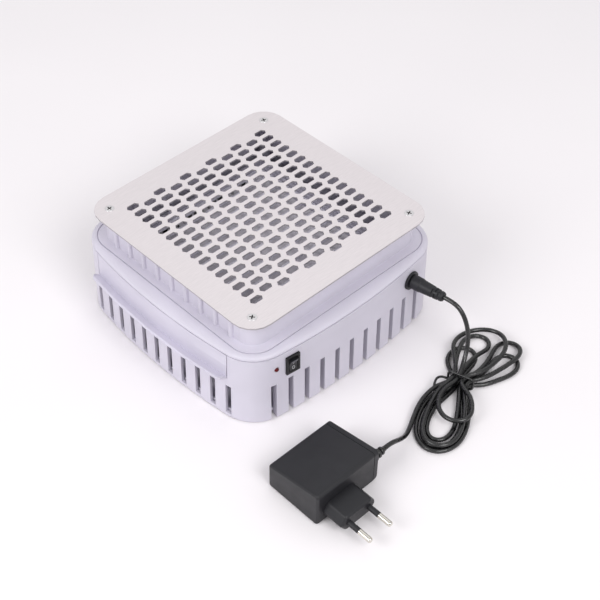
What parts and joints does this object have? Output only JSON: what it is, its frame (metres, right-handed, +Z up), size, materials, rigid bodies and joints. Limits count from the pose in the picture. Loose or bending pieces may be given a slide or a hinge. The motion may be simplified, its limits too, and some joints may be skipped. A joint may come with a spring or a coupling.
{
  "type": "nail dust collector",
  "caption": "Square desktop dust extractor with a perforated top plate, a pull-out filter drawer, a centrifugal fan, a rocker switch and a plug-in power supply on a hanked cord.",
  "frame": {"origin": "on the table, under the middle of the box that holds the housing and the drawer's lip", "axes": "+Z up; the drawer opens towards -Y; the switch, lamp and power jack are on the +X side"},
  "size_m": [0.3066, 0.2092, 0.0853],
  "materials": {
    "lavender_plastic": "moulded ABS, fine satin texture, pale lavender grey",
    "drawer_plastic": "moulded ABS, satin, pale lavender grey",
    "filter_plastic": "moulded ABS, satin, lavender",
    "perforated_steel": "brushed stainless sheet, warm grey",
    "screw_steel": "bright zinc plated",
    "foot_rubber": "matt white rubber",
    "dark_plastic": "moulded, dark grey",
    "motor_steel": "drawn steel can and laminations",
    "copper": "enamelled copper winding",
    "filter_cloth": "pleated non-woven filter cloth",
    "black_plastic": "moulded, black, fine texture",
    "black_rubber": "soft PVC jacket, black",
    "red_lens": "tinted lamp lens, unlit",
    "board_green": "circuit board with solder mask",
    "nickel": "nickel plated"
  },
  "bodies": {
    "housing": {"base_housing": "lavender_plastic", "bottom_cover": "lavender_plastic", "top_cover": "lavender_plastic", "fan_shelf": "lavender_plastic", "grille_plate": "perforated_steel", "plate_screw_1": "screw_steel", "plate_screw_2": "screw_steel", "plate_screw_3": "screw_steel", "plate_screw_4": "screw_steel", "case_screw_1": "screw_steel", "case_screw_2": "screw_steel", "case_screw_3": "screw_steel", "case_screw_4": "screw_steel", "motor_screw_1": "screw_steel", "motor_screw_2": "screw_steel", "motor_screw_3": "screw_steel", "foot_1": "foot_rubber", "foot_2": "foot_rubber", "foot_3": "foot_rubber", "foot_4": "foot_rubber", "motor_mount": "dark_plastic", "motor_case": "motor_steel", "bearing_lower": "motor_steel", "bearing_upper": "motor_steel", "motor_stator": "copper", "switch_body": "black_plastic", "power_jack": "black_plastic", "jack_nut": "black_plastic", "plug_grip": "black_plastic", "adapter_case": "black_plastic", "adapter_end_cap": "black_plastic", "plug_block": "black_plastic", "pin_sleeve_1": "black_plastic", "pin_sleeve_2": "black_plastic", "jack_lead": "black_rubber", "motor_lead": "black_rubber", "cord_upper": "black_rubber", "cord_hank": "black_rubber", "cord_tie": "black_rubber", "cord_lower": "black_rubber", "cord_relief": "black_rubber", "lamp": "red_lens", "lamp_board": "board_green", "plug_barrel": "nickel", "pin_1": "nickel", "pin_2": "nickel"},
    "drawer": {"drawer": "drawer_plastic", "filter_frame": "filter_plastic", "filter_media": "filter_cloth"},
    "rocker": {"switch_rocker": "black_plastic"},
    "fan": {"motor_rotor": "motor_steel", "motor_shaft": "screw_steel", "impeller": "dark_plastic", "impeller_nut": "screw_steel"}
  },
  "joints": [
    {"name": "drawer_slide", "type": "slide", "parent": "housing", "child": "drawer", "axis": [0, -1, 0], "range_m": [0, 0.12]},
    {"name": "rocker_tip", "type": "hinge", "parent": "housing", "child": "rocker", "pos_m": [0.09302, -0.05442, 0.0462], "axis": [0.1144, 0.9934, 0], "range_deg": [-20, 0]},
    {"name": "fan_spin", "type": "hinge", "parent": "housing", "child": "fan", "pos_m": [0, 0.002, 0.02], "axis": [0, 0, 1], "continuous": true}
  ]
}
